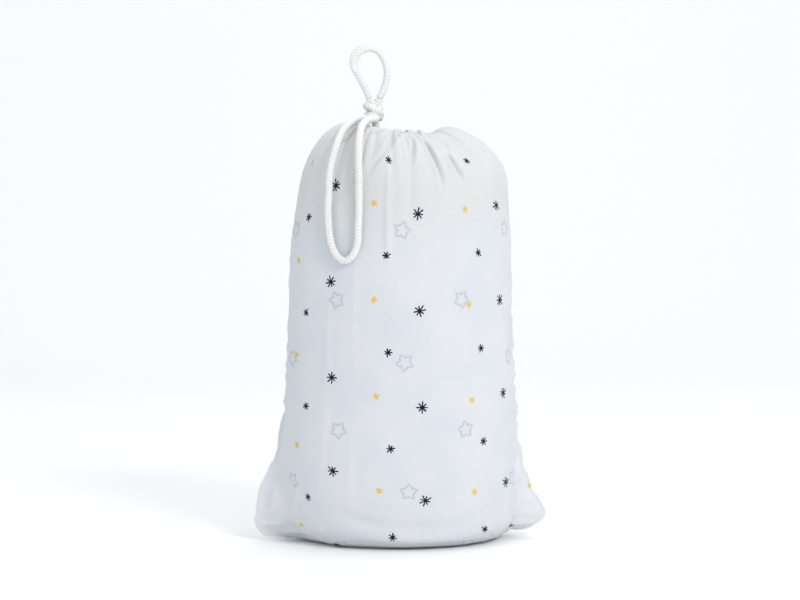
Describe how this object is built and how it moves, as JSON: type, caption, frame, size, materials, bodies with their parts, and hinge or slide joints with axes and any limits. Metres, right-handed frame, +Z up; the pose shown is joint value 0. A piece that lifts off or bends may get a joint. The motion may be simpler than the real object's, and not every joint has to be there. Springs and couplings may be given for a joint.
{
  "type": "drawstring fabric sack",
  "caption": "Gauze drawstring gift sack filled with a folded blanket, drawn shut and tied, with a standing loop and a hanging loop of braided cord.",
  "frame": {"origin": "middle of the base, on the surface that the sack stands on", "axes": "+Z up, front facing -Y, cord opening on the -X side seam"},
  "size_m": [0.19, 0.1116, 0.3217],
  "materials": {
    "printed_gauze": "matte open-weave cotton gauze with a small printed star pattern",
    "seam_gauze": "matte turned-in gauze",
    "thread": "soft matte cotton thread",
    "cotton_cord": "soft matte braided cotton",
    "blanket_gauze": "matte cotton gauze"
  },
  "bodies": {
    "sack": {"front_panel": "printed_gauze", "back_panel": "printed_gauze", "left_side_seam": "seam_gauze", "right_side_seam": "seam_gauze", "bottom_seam": "seam_gauze", "front_casing": "printed_gauze", "back_casing": "printed_gauze", "casing_stitching": "thread", "cord_opening_tacks": "thread", "drawcord": "cotton_cord", "folded_blanket": "blanket_gauze"},
    "tied_cord": {"knot": "cotton_cord", "cord_strands": "cotton_cord"},
    "upper_loop": {"standing_loop": "cotton_cord"},
    "lower_loop": {"hanging_loop": "cotton_cord"}
  },
  "joints": [
    {"name": "cord_draw", "type": "slide", "parent": "sack", "child": "tied_cord", "axis": [0, 0, 1], "range_m": [0, 0.012]},
    {"name": "upper_loop_tip", "type": "hinge", "parent": "tied_cord", "child": "upper_loop", "pos_m": [-0.0175, 0, 0.287], "axis": [1, 0, 0], "range_deg": [-70, 50]},
    {"name": "lower_loop_swing", "type": "hinge", "parent": "tied_cord", "child": "lower_loop", "pos_m": [-0.0195, -0.01, 0.2732], "axis": [-1, 0, 0], "range_deg": [0, 70]}
  ]
}
